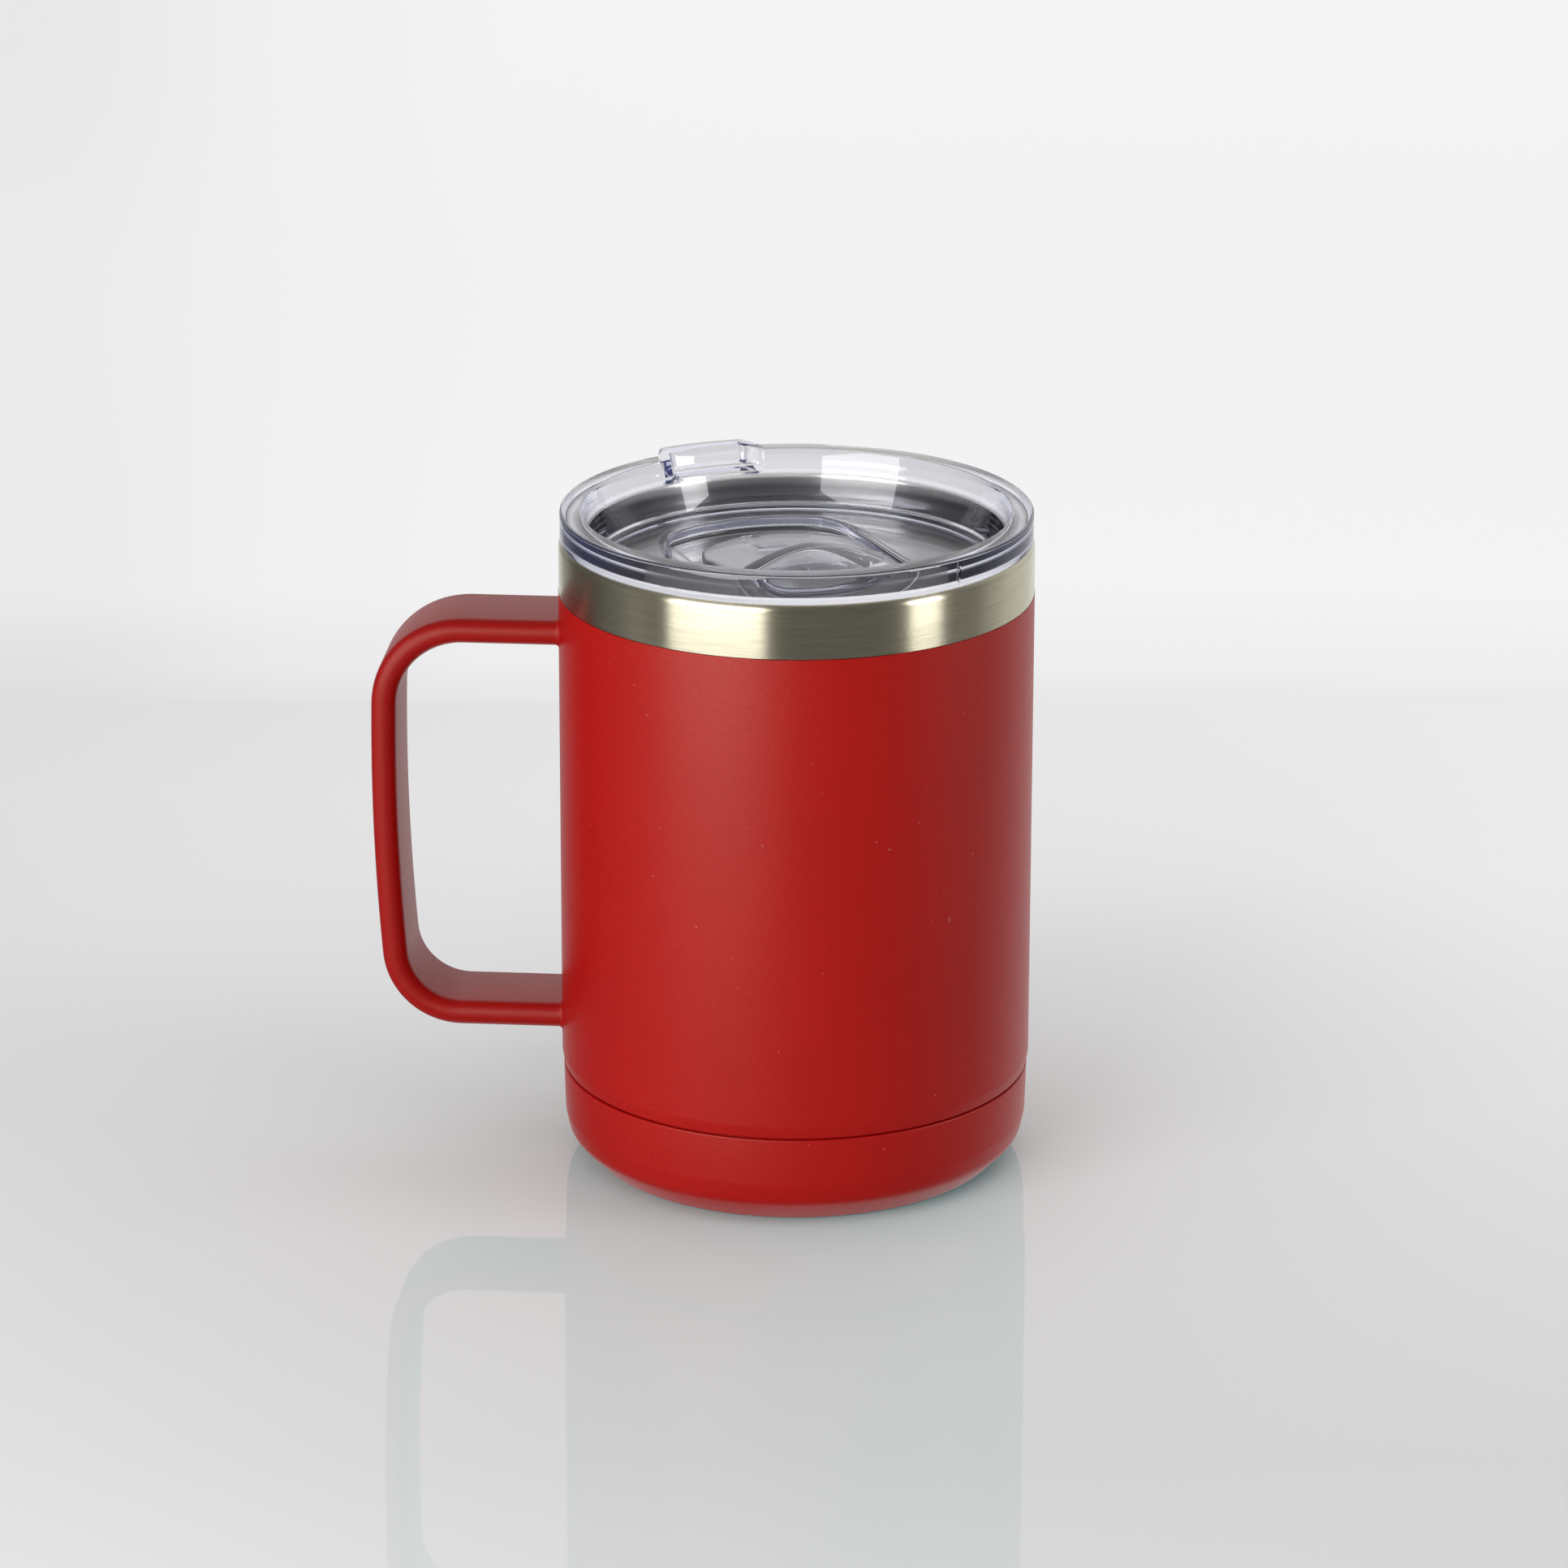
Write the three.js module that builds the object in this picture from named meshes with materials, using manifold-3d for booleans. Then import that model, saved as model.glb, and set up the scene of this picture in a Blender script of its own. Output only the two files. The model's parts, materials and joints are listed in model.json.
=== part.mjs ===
// Insulated travel mug: a double-wall steel body with a strip handle, and a clear push-in lid with a
// sliding closure.
// Millimetres, +Z up. The origin is the centre of the base, on the plane the mug stands on. The handle
// points to -X.
import * as THREE from "three";
import { mergeVertices } from "three/addons/utils/BufferGeometryUtils.js";
import Module from "manifold-3d";

const wasm = await Module();
wasm.setup();

// ---------------------------------------------------------------- driving dimensions
const BODY_RADIUS = 43; // outside of the outer shell
const RIM_Z = 117.6; // top of the steel rim
const SHEET = 0.6; // wall of every steel shell
const MOUTH_RADIUS = 39.4; // inside of the mouth, where the lid plugs in
const CUP_RADIUS = 38.6; // inside of the cup below the mouth
const MOUTH_END_Z = 103.4; // lower end of the mouth
const CUP_FLOOR_Z = 10.6; // inside floor of the cup
const CUP_FLOOR_RADIUS = 36; // flat part of that floor
const SEAM_Z = 17.3; // seam between the outer shell and the base cup
const NECK_RADIUS = 41.9; // part of the outer shell that the base cup slips over
const BASE_TOP_RADIUS = 42.7;
const BASE_FOOT_RADIUS = 37.3; // edge of the flat face the mug stands on
const BASE_BEVEL = [
  [38.1, 0.3],
  [40.6, 3.2],
  [41.6, 4.3],
  [42.2, 5.5],
  [42.5, 7.5],
]; // radius and height along the rounded bevel above the foot
const CHAMBER_FLOOR_Z = 7.6; // underside of the plate that closes the vacuum space
const DIMPLE = { hole: 1, top: 4.4, foot: 5.9, depth: 1.4 }; // radii and depth round the exhaust hole
const GETTER = { radius: 5, height: 1.4, x: 16 };
const FIT = 0.15; // room left between neighbouring solids

const HANDLE_WIDTH = 19;
const HANDLE_THICKNESS = 4.6;
const HANDLE_WALL = 1;
const HANDLE_REACH = 74.6; // centre line of the upright, from the mug's axis, at its furthest
const HANDLE_REACH_Z = 74; // height at which the upright is furthest out
const HANDLE_TOP_Z = 100;
const HANDLE_BOTTOM_Z = 26.5;
const HANDLE_TOP_BEND = 14.6; // radii of the centre line
const HANDLE_BOW = 450;
const HANDLE_BOTTOM_BEND = 12.2;

const LID_TOP_Z = 122.4;
const FLANGE_RADIUS = 42.7;
const FLANGE_BOTTOM_Z = RIM_Z + 0.2;
const PLUG_RADIUS = 38.7;
const PLUG_BOTTOM_Z = 108.2;
const LID_FLOOR_Z = 112.5;
const LID_WALL = 2;
const RECESS_TOP_RADIUS = 38.8;
const RECESS_FLOOR_RADIUS = 35.5;
const GROOVE_RADIUS = 37.2;
const GROOVE_Z = [109.4, 112.2];

const TRACK_AZIMUTH = 117.5; // degrees from +X: the way the slider opens, and the pry tab's place
const TAB_REACH = 4.3; // how far the pry tab stands out of the flange
const TAB_FLAT_DEG = 9.2; // half angles of the tab's full width and of its whole width
const TAB_END_DEG = 14.2;

const WELL_RADIUS = 28.3; // the slider's well: a band across the lid with ends round the axis
const WELL_HALF_WIDTH = 17.2;
const WELL_CORNER = 4;
const WELL_WALL = 1.8;
const WELL_FLOOR_Z = 109.9;
const WELL_BOTTOM_Z = 108;
const DRINK_HOLE = { from: -25.5, to: -17.5, halfWidth: 9.5, corner: 3.5 }; // under the slider's nose
const SLIDER_HALF_WIDTH = 16.5;
const SLIDER_NOSE_RADIUS = 27.9;
const SLIDER_TAIL_RADIUS = 18;
const SLIDER_BOTTOM_Z = WELL_FLOOR_Z + 0.2;
const SLIDER_TOP_Z = 112.7;
const SLIDER_TRAVEL = 9.8;
const GRIP_FACE = -4; // place along the track of the face a thumb pushes
const GRIP_RADIUS = 15;
const GRIP_HEIGHT = 4.4;
const GRIP_HOLLOW = { back: 1.8, radius: 10.5, height: 3.4 }; // room under the grip, behind its face
const NOTCH = { from: -0.5, to: 5.5, depth: 1.2, corner: 1 }; // click stops in the slider's sides
const STEM = { from: -6, to: 2, halfWidth: 3 }; // the slider's stem, along the track and across it
const BARB = 0.7; // how far the stem's head stands out at each side
const CLIP = { length: 14, width: 14, corner: 1.5, z: [106.2, 107.7] };

const BODY_SEGMENTS = 48;
const LID_SEGMENTS = 80;

// ---------------------------------------------------------------- materials
const finish = (color, roughness, metalness, opacity = 1) =>
  new THREE.MeshStandardMaterial({ color, roughness, metalness, opacity, transparent: opacity < 1 });
const redCoat = () => finish(0xa81c1a, 0.5, 0.1);
const steel = () => finish(0x9c988c, 0.3, 1);
const clearPlastic = () => finish(0xc9cad6, 0.08, 0, 0.4);

// ---------------------------------------------------------------- helpers
const radians = THREE.MathUtils.degToRad;

// A solid of revolution about Z from [radius, z] points, listed anticlockwise.
function revolve(points, segments = BODY_SEGMENTS) {
  const profile = points.map(([r, z]) => new THREE.Vector2(r, z));
  return new THREE.LatheGeometry(profile, segments).rotateX(Math.PI / 2);
}

// A ring: its profile closes on itself and stays off the axis.
const ring = (points, segments) => revolve([...points, points[0]], segments);

// A flat outline, pushed up from z0 to z1.
function slab(outline, z0, z1) {
  const options = { depth: z1 - z0, bevelEnabled: false, curveSegments: 10 };
  return new THREE.ExtrudeGeometry(outline, options).translate(0, 0, z0);
}

function solid(geometry) {
  const bare = geometry.index ? geometry.toNonIndexed() : geometry.clone();
  bare.deleteAttribute("normal");
  bare.deleteAttribute("uv");
  const merged = mergeVertices(bare, 1e-4);
  const vertProperties = merged.attributes.position.array;
  const triVerts = new Uint32Array(merged.index.array);
  return new wasm.Manifold(new wasm.Mesh({ numProp: 3, vertProperties, triVerts }));
}

function geometryOf(made) {
  const { vertProperties, triVerts } = made.getMesh();
  const geometry = new THREE.BufferGeometry();
  geometry.setAttribute("position", new THREE.BufferAttribute(vertProperties, 3));
  geometry.setIndex(new THREE.BufferAttribute(triVerts, 1));
  const flat = geometry.toNonIndexed();
  flat.computeVertexNormals();
  return flat;
}

const part = (name, geometry, material) => {
  const mesh = new THREE.Mesh(geometry, material);
  mesh.name = name;
  return mesh;
};

// A rectangle with round corners, from two opposite corners.
function roundedRectangle(x0, y0, x1, y1, r) {
  const shape = new THREE.Shape();
  shape.absarc(x1 - r, y0 + r, r, -Math.PI / 2, 0, false);
  shape.absarc(x1 - r, y1 - r, r, 0, Math.PI / 2, false);
  shape.absarc(x0 + r, y1 - r, r, Math.PI / 2, Math.PI, false);
  shape.absarc(x0 + r, y0 + r, r, Math.PI, Math.PI * 1.5, false);
  return shape;
}

// ---------------------------------------------------------------- mug body
// The shell runs straight from the seam to the rim, where it turns in to meet the liner.
function outerShell() {
  const inside = BODY_RADIUS - SHEET;
  return ring([
    [NECK_RADIUS - SHEET, CHAMBER_FLOOR_Z],
    [NECK_RADIUS, CHAMBER_FLOOR_Z],
    [NECK_RADIUS, SEAM_Z],
    [BODY_RADIUS - 0.4, SEAM_Z + 0.2],
    [BODY_RADIUS, SEAM_Z + 2],
    [BODY_RADIUS, RIM_Z - 2.4],
    [BODY_RADIUS - 0.4, RIM_Z - 0.7],
    [BODY_RADIUS - 1.3, RIM_Z],
    [BODY_RADIUS - 2.1, RIM_Z],
    [BODY_RADIUS - 2.1, RIM_Z - SHEET],
    [inside - 0.9, RIM_Z - SHEET],
    [inside, RIM_Z - 2.4],
    [inside, SEAM_Z + 2],
    [inside - 0.3, SEAM_Z + 0.9],
    [NECK_RADIUS - SHEET, SEAM_Z + 0.6],
  ]);
}

// The cup that holds the drink, a little wider at the mouth.
function innerLiner() {
  const weld = BODY_RADIUS - 2.2;
  return revolve([
    [0, CUP_FLOOR_Z - SHEET],
    [CUP_FLOOR_RADIUS, CUP_FLOOR_Z - SHEET],
    [CUP_RADIUS, CUP_FLOOR_Z + 1.2],
    [CUP_RADIUS + SHEET, CUP_FLOOR_Z + 3],
    [CUP_RADIUS + SHEET, MOUTH_END_Z - 3],
    [MOUTH_RADIUS + SHEET, MOUTH_END_Z],
    [MOUTH_RADIUS + SHEET, RIM_Z - 1.4],
    [weld, RIM_Z - SHEET],
    [weld, RIM_Z],
    [MOUTH_RADIUS + 0.4, RIM_Z - 0.3],
    [MOUTH_RADIUS, RIM_Z - 1.2],
    [MOUTH_RADIUS, MOUTH_END_Z],
    [CUP_RADIUS, MOUTH_END_Z - 3],
    [CUP_RADIUS, CUP_FLOOR_Z + 3],
    [CUP_FLOOR_RADIUS, CUP_FLOOR_Z],
    [0, CUP_FLOOR_Z],
  ]);
}

// The plate that closes the vacuum space, with the hole the air is drawn out of in a dimple.
function chamberPlate() {
  const { hole, top, foot, depth } = DIMPLE;
  const edge = NECK_RADIUS - SHEET - FIT;
  return ring([
    [hole, CHAMBER_FLOOR_Z + depth],
    [top, CHAMBER_FLOOR_Z + depth],
    [foot, CHAMBER_FLOOR_Z],
    [edge, CHAMBER_FLOOR_Z],
    [edge, CHAMBER_FLOOR_Z + SHEET],
    [foot - 0.2, CHAMBER_FLOOR_Z + SHEET],
    [top - 0.2, CHAMBER_FLOOR_Z + depth + SHEET],
    [hole, CHAMBER_FLOOR_Z + depth + SHEET],
  ]);
}

// The bead of solder glass that plugs the exhaust hole from below.
function exhaustPlug() {
  const top = CHAMBER_FLOOR_Z + DIMPLE.depth - FIT;
  const bead = [
    [0, top - 1.2],
    [2.4, top - 0.9],
    [3.2, top],
    [0, top],
  ];
  return revolve(bead, 16);
}

// The base cup: a spun cover with a bevelled foot, glued over the neck of the shell.
function baseCup() {
  const lip = SEAM_Z - 0.3;
  const inside = NECK_RADIUS + FIT;
  return revolve([
    [0, 0],
    [BASE_FOOT_RADIUS, 0],
    ...BASE_BEVEL,
    [BASE_TOP_RADIUS, lip - 0.3],
    [BASE_TOP_RADIUS - 0.2, lip],
    [inside, lip],
    [inside, 7.5],
    [inside - 1.05, 4.7],
    [BASE_FOOT_RADIUS + 0.2, SHEET + 0.3],
    [BASE_FOOT_RADIUS - 0.6, SHEET],
    [0, SHEET],
  ]);
}

// Thin metal foil wrapped round the liner, which turns radiant heat back.
function heatShield() {
  const r = CUP_RADIUS + SHEET + FIT;
  const [z0, z1] = [CUP_FLOOR_Z + 5, MOUTH_END_Z - 5];
  return ring([
    [r, z0],
    [r + FIT, z0],
    [r + FIT, z1],
    [r, z1],
  ]);
}

// The pill that soaks up gas left in the vacuum space.
function getterPill() {
  const { radius, height, x } = GETTER;
  const z = CHAMBER_FLOOR_Z + SHEET + FIT + height / 2;
  return new THREE.CylinderGeometry(radius, radius, height, 20).rotateX(Math.PI / 2).translate(x, 0, z);
}

// ---------------------------------------------------------------- handle
// The centre of a bend at height z that meets the bowed upright smoothly, and the angle where they meet.
function bend(radius, z) {
  const bowX = HANDLE_BOW - HANDLE_REACH;
  const rise = z - HANDLE_REACH_Z;
  const x = bowX - Math.sqrt((HANDLE_BOW - radius) ** 2 - rise ** 2);
  return { x, z, radius, meet: Math.PI - Math.asin(rise / (HANDLE_BOW - radius)) };
}

// The handle's centre line: out, down a shallow bow, and back in.
function handlePath() {
  const start = BODY_RADIUS - 3;
  const upper = bend(HANDLE_TOP_BEND, HANDLE_TOP_Z - HANDLE_TOP_BEND);
  const lower = bend(HANDLE_BOTTOM_BEND, HANDLE_BOTTOM_Z + HANDLE_BOTTOM_BEND);
  const path = new THREE.Path();
  path.moveTo(-start, HANDLE_TOP_Z);
  path.lineTo(upper.x, HANDLE_TOP_Z);
  path.absarc(upper.x, upper.z, upper.radius, Math.PI / 2, upper.meet, false);
  path.absarc(HANDLE_BOW - HANDLE_REACH, HANDLE_REACH_Z, HANDLE_BOW, upper.meet, lower.meet, false);
  path.absarc(lower.x, lower.z, lower.radius, lower.meet, Math.PI * 1.5, false);
  path.lineTo(-start, HANDLE_BOTTOM_Z);
  return path;
}

class UprightCurve extends THREE.Curve {
  constructor(path) {
    super();
    this.path = path;
  }
  getPoint(t, target = new THREE.Vector3()) {
    const p = this.path.getPoint(t);
    return target.set(p.x, 0, p.y);
  }
}

// The handle's section: a flat bar whose narrow sides are full rounds.
function barOutline(width, thickness, shape) {
  const r = thickness / 2;
  const reach = width / 2 - r;
  shape.absarc(0, reach, r, 0, Math.PI, false);
  shape.absarc(0, -reach, r, Math.PI, Math.PI * 2, false);
  shape.closePath();
  return shape;
}

// A flattened steel tube, open at both ends, which stop at the shell they are welded to.
function handle() {
  const walls = 2 * HANDLE_WALL;
  const section = barOutline(HANDLE_WIDTH, HANDLE_THICKNESS, new THREE.Shape());
  section.holes.push(barOutline(HANDLE_WIDTH - walls, HANDLE_THICKNESS - walls, new THREE.Path()));
  const extrudePath = new UprightCurve(handlePath());
  const bar = new THREE.ExtrudeGeometry(section, { steps: 48, curveSegments: 5, extrudePath });
  const body = revolve([
    [0, 0],
    [BODY_RADIUS + FIT, 0],
    [BODY_RADIUS + FIT, RIM_Z],
    [0, RIM_Z],
  ]);
  return geometryOf(solid(bar).subtract(solid(body)));
}

// ---------------------------------------------------------------- lid
// 1 over the pry tab, 0 away from it, with a smooth step between.
function tabShape(azimuth) {
  const turn = azimuth - radians(TRACK_AZIMUTH);
  const off = Math.abs(Math.atan2(Math.sin(turn), Math.cos(turn)));
  return 1 - THREE.MathUtils.smoothstep(off, radians(TAB_FLAT_DEG), radians(TAB_END_DEG));
}

// Moves the flange's outer wall and the top of its inner wall outwards at the pry tab.
function pushOutTab(geometry) {
  const { position } = geometry.attributes;
  const point = new THREE.Vector3();
  for (let i = 0; i < position.count; i++) {
    point.fromBufferAttribute(position, i);
    const r = Math.hypot(point.x, point.y);
    const outer = r > FLANGE_RADIUS - 1.2 && point.z > RIM_Z;
    const inner = r > RECESS_TOP_RADIUS - 1.3 && point.z > LID_TOP_Z - 3;
    if (!outer && !inner) continue;
    const grow = 1 + (TAB_REACH * tabShape(Math.atan2(point.y, point.x))) / r;
    position.setXYZ(i, point.x * grow, point.y * grow, point.z);
  }
  return geometry;
}

// The lid before its well is cut: flange, plug with the gasket's groove, and floor.
function lidBlank() {
  const underside = LID_FLOOR_Z - LID_WALL;
  const profile = [
    [0, underside],
    [35.4, underside],
    [36, PLUG_BOTTOM_Z],
    [PLUG_RADIUS - 0.5, PLUG_BOTTOM_Z],
    [PLUG_RADIUS, PLUG_BOTTOM_Z + 0.6],
    [PLUG_RADIUS, GROOVE_Z[0]],
    [GROOVE_RADIUS, GROOVE_Z[0]],
    [GROOVE_RADIUS, GROOVE_Z[1]],
    [PLUG_RADIUS, GROOVE_Z[1]],
    [PLUG_RADIUS, FLANGE_BOTTOM_Z],
    [FLANGE_RADIUS - 0.2, FLANGE_BOTTOM_Z],
    [FLANGE_RADIUS, FLANGE_BOTTOM_Z + 0.3],
    [FLANGE_RADIUS, LID_TOP_Z - 0.7],
    [FLANGE_RADIUS - 0.2, LID_TOP_Z - 0.2],
    [FLANGE_RADIUS - 0.7, LID_TOP_Z],
    [RECESS_TOP_RADIUS + 0.4, LID_TOP_Z],
    [RECESS_TOP_RADIUS, LID_TOP_Z - 0.4],
    [RECESS_TOP_RADIUS - 0.8, LID_TOP_Z - 2.6],
    [RECESS_TOP_RADIUS - 1.2, LID_TOP_Z - 3.6],
    [RECESS_FLOOR_RADIUS + 0.4, LID_FLOOR_Z + 1],
    [RECESS_FLOOR_RADIUS - 0.9, LID_FLOOR_Z],
    [0, LID_FLOOR_Z],
  ];
  return pushOutTab(revolve(profile, LID_SEGMENTS));
}

// An outline across the lid's axis: straight sides, ends round the axis, round corners. X runs along
// the track.
function bandOutline(tabEnd, noseEnd, halfWidth, corner) {
  const y = halfWidth - corner;
  const cornerX = (radius) => Math.sqrt((radius - corner) ** 2 - y ** 2);
  const [tabX, noseX] = [cornerX(tabEnd), cornerX(noseEnd)];
  const [tabTurn, noseTurn] = [Math.atan2(y, tabX), Math.atan2(y, noseX)];
  const shape = new THREE.Shape();
  shape.absarc(tabX, -y, corner, -Math.PI / 2, -tabTurn, false);
  shape.absarc(0, 0, tabEnd, -tabTurn, tabTurn, false);
  shape.absarc(tabX, y, corner, tabTurn, Math.PI / 2, false);
  shape.absarc(-noseX, y, corner, Math.PI / 2, Math.PI - noseTurn, false);
  shape.absarc(0, 0, noseEnd, Math.PI - noseTurn, Math.PI + noseTurn, false);
  shape.absarc(-noseX, -y, corner, Math.PI + noseTurn, Math.PI * 1.5, false);
  return shape;
}

function wellOutline(grow) {
  const radius = WELL_RADIUS + grow;
  return bandOutline(radius, radius, WELL_HALF_WIDTH + grow, WELL_CORNER + grow);
}

// The lid with the slider's well, the hole to drink through and the slot for the slider's stem.
function lidBody() {
  const alongTrack = (geometry) => solid(geometry.rotateZ(radians(TRACK_AZIMUTH)));
  const { from, to, halfWidth, corner } = DRINK_HOLE;
  const drinkHole = roundedRectangle(from, -halfWidth, to, halfWidth, corner);
  const room = 0.3;
  const slotEnd = STEM.to + SLIDER_TRAVEL + room;
  const slotSide = STEM.halfWidth + room;
  const slot = roundedRectangle(STEM.from - room, -slotSide, slotEnd, slotSide, 0.8);
  const [below, above] = [WELL_BOTTOM_Z - 1, LID_FLOOR_Z + 1];
  return geometryOf(
    solid(lidBlank())
      .add(alongTrack(slab(wellOutline(WELL_WALL), WELL_BOTTOM_Z, LID_FLOOR_Z - 0.5)))
      .subtract(alongTrack(slab(wellOutline(0), WELL_FLOOR_Z, above)))
      .subtract(alongTrack(slab(drinkHole, below, above)))
      .subtract(alongTrack(slab(slot, below, above))),
  );
}

// A soft ring in the plug's groove, with two lips that press on the liner.
function gasket() {
  const [inner, crest, valley] = [GROOVE_RADIUS + 0.2, MOUTH_RADIUS - 0.15, MOUTH_RADIUS - 0.6];
  const [z0, z1] = [GROOVE_Z[0] + FIT, GROOVE_Z[1] - FIT];
  return ring([
    [inner, z0],
    [valley, z0],
    [crest, z0 + 0.6],
    [valley, (z0 + z1) / 2],
    [crest, z1 - 0.6],
    [valley, z1],
    [inner, z1],
  ]);
}

// ---------------------------------------------------------------- slider, in the track's own frame
// Half a low bell, cut off flat at x = face and standing on z = foot.
function halfBell(face, radius, height, foot, top) {
  const points = [
    [0, foot],
    [radius, foot],
  ];
  const steps = 10;
  for (let i = 0; i <= steps; i++) {
    const share = 1 - i / steps;
    points.push([radius * share, top + height * (1 - share ** 2) ** 1.2]);
  }
  const bell = revolve(points, 36).translate(face, 0, 0);
  const keep = new THREE.BoxGeometry(30, 40, 20).translate(face - 15, 0, top);
  return solid(bell).intersect(solid(keep));
}

// Two shallow notches in the slider's sides, which click at the ends of its travel.
function notches() {
  const { from, to, depth, corner } = NOTCH;
  const cut = (y) => {
    const outline = roundedRectangle(from, y - depth, to, y + depth, corner);
    return solid(slab(outline, SLIDER_BOTTOM_Z - 1, SLIDER_TOP_Z + 1));
  };
  return cut(SLIDER_HALF_WIDTH).add(cut(-SLIDER_HALF_WIDTH));
}

// The slider: a plate with a hollow grip that a thumb pushes, and a stem with a barbed head below.
function slider() {
  const { from, to, halfWidth } = STEM;
  const barbTop = CLIP.z[0] - 0.2;
  const plate = bandOutline(SLIDER_TAIL_RADIUS, SLIDER_NOSE_RADIUS, SLIDER_HALF_WIDTH, WELL_CORNER);
  const grip = halfBell(GRIP_FACE, GRIP_RADIUS, GRIP_HEIGHT, SLIDER_TOP_Z - 0.6, SLIDER_TOP_Z);
  const { back, radius, height } = GRIP_HOLLOW;
  const hollow = halfBell(GRIP_FACE - back, radius, height, SLIDER_BOTTOM_Z - 1, SLIDER_TOP_Z);
  const stem = roundedRectangle(from, -halfWidth, to, halfWidth, 0.5);
  const head = roundedRectangle(from, -halfWidth - BARB, to, halfWidth + BARB, 0.5);
  return geometryOf(
    solid(slab(plate, SLIDER_BOTTOM_Z, SLIDER_TOP_Z))
      .subtract(notches())
      .add(grip)
      .subtract(hollow)
      .add(solid(slab(stem, barbTop - 0.4, SLIDER_BOTTOM_Z + 0.5)))
      .add(solid(slab(head, barbTop - 1, barbTop))),
  );
}

// A flat clip under the lid's floor, snapped over the slider's stem.
function sliderClip() {
  const { from, to, halfWidth } = STEM;
  const { length, width, corner, z } = CLIP;
  const start = (from + to - length) / 2;
  const outline = roundedRectangle(start, -width / 2, start + length, width / 2, corner);
  outline.holes.push(roundedRectangle(from - FIT, -halfWidth - FIT, to + FIT, halfWidth + FIT, 0.5));
  return slab(outline, z[0], z[1]);
}

// ---------------------------------------------------------------- assembly
const mug = new THREE.Group();
mug.add(part("outer_shell", outerShell(), redCoat()));
mug.add(part("inner_liner", innerLiner(), steel()));
mug.add(part("chamber_plate", chamberPlate(), steel()));
mug.add(part("exhaust_plug", exhaustPlug(), finish(0x3a4a44, 0.25, 0)));
mug.add(part("getter_pill", getterPill(), finish(0x6d6a66, 0.8, 0.4)));
mug.add(part("heat_shield_foil", heatShield(), finish(0xb87348, 0.3, 1)));
mug.add(part("base_cup", baseCup(), redCoat()));
mug.add(part("handle", handle(), redCoat()));

const lid = new THREE.Group();
lid.add(part("lid_gasket", gasket(), finish(0xd4d6da, 0.4, 0, 0.6)));
lid.add(part("lid_body", lidBody(), clearPlastic()));

const closure = new THREE.Group();
closure.rotation.z = radians(TRACK_AZIMUTH);
closure.add(part("slider", slider(), clearPlastic()));
closure.add(part("slider_clip", sliderClip(), clearPlastic()));

const assembly = new THREE.Group();
assembly.add(mug, lid, closure);
export default assembly;
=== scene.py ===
"""Insulated travel mug: the visible surfaces and materials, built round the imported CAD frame."""

import json
import math

import bpy
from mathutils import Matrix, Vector

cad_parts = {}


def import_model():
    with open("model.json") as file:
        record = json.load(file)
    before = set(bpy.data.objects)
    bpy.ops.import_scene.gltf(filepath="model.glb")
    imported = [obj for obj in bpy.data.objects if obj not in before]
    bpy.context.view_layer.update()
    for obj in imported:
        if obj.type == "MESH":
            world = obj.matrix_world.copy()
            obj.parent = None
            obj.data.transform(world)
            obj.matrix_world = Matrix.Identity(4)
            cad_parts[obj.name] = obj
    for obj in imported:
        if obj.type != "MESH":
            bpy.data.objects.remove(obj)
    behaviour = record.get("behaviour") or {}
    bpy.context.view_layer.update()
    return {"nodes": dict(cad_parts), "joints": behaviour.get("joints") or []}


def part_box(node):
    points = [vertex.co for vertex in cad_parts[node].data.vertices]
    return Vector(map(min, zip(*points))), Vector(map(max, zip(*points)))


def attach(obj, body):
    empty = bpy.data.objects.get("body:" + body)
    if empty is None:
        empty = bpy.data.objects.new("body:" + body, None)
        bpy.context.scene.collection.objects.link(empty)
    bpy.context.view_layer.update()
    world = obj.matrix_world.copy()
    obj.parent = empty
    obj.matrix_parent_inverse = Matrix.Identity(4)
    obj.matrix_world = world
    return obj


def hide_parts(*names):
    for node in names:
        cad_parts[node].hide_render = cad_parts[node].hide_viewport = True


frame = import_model()

MM = 0.001  # shapes below are drawn in millimetres and stored in metres
CREASE = 32  # degrees: edges that turn by more than this stay crisp


# ------------------------------------------------------------------ sizes (mm), the outer ones from the frame
def span(node):
    """Lowest and highest corner of a CAD node, in millimetres."""
    low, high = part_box(node)
    return low / MM, high / MM


BODY_R = span("outer_shell")[1].x
RIM_Z = span("outer_shell")[1].z
BASE_R = span("base_cup")[1].x
LIP_Z = span("base_cup")[1].z  # top edge of the base cup
SEAM_Z = LIP_Z + 0.3  # lower edge of the outer shell
NECK_Z = span("outer_shell")[0].z
NECK_R = BODY_R - 1.1
SHEET = 0.6
PAINT = 0.07  # thickness of the powder coat
PAINT_Z = RIM_Z - 10.4  # where the coat stops and bare steel begins
MOUTH_R = BODY_R - 3.6
CUP_R = BODY_R - 4.4
MOUTH_END_Z = RIM_Z - 14.2  # below it the cup narrows by a small step
CUP_BOTTOM_Z = span("inner_liner")[0].z
BAND_R = BODY_R - PAINT
WELD_R = BODY_R - 2.1  # where the shell meets the liner, on top of the rim
FOOT_R = 37.4
BEVEL_R, BEVEL_Z = 41.75, 4.45  # top of the foot's bevel
WAIST_R, WAIST_Z = 42.45, 8

HANDLE_LOW, HANDLE_HIGH = span("handle")
HANDLE_HALF_WIDTH = HANDLE_HIGH.y
BAR = 4.6  # thickness of the handle bar
HANDLE_REACH = -HANDLE_LOW.x - BAR / 2
HANDLE_REACH_Z = 74  # height at which the upright is furthest out
TOP_BEND, HANDLE_BOW, BOTTOM_BEND = 14.6, 450, 12.2  # radii of the centre line
COAT_FLARE = 0.7  # how far the coat pools round the welds

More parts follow.
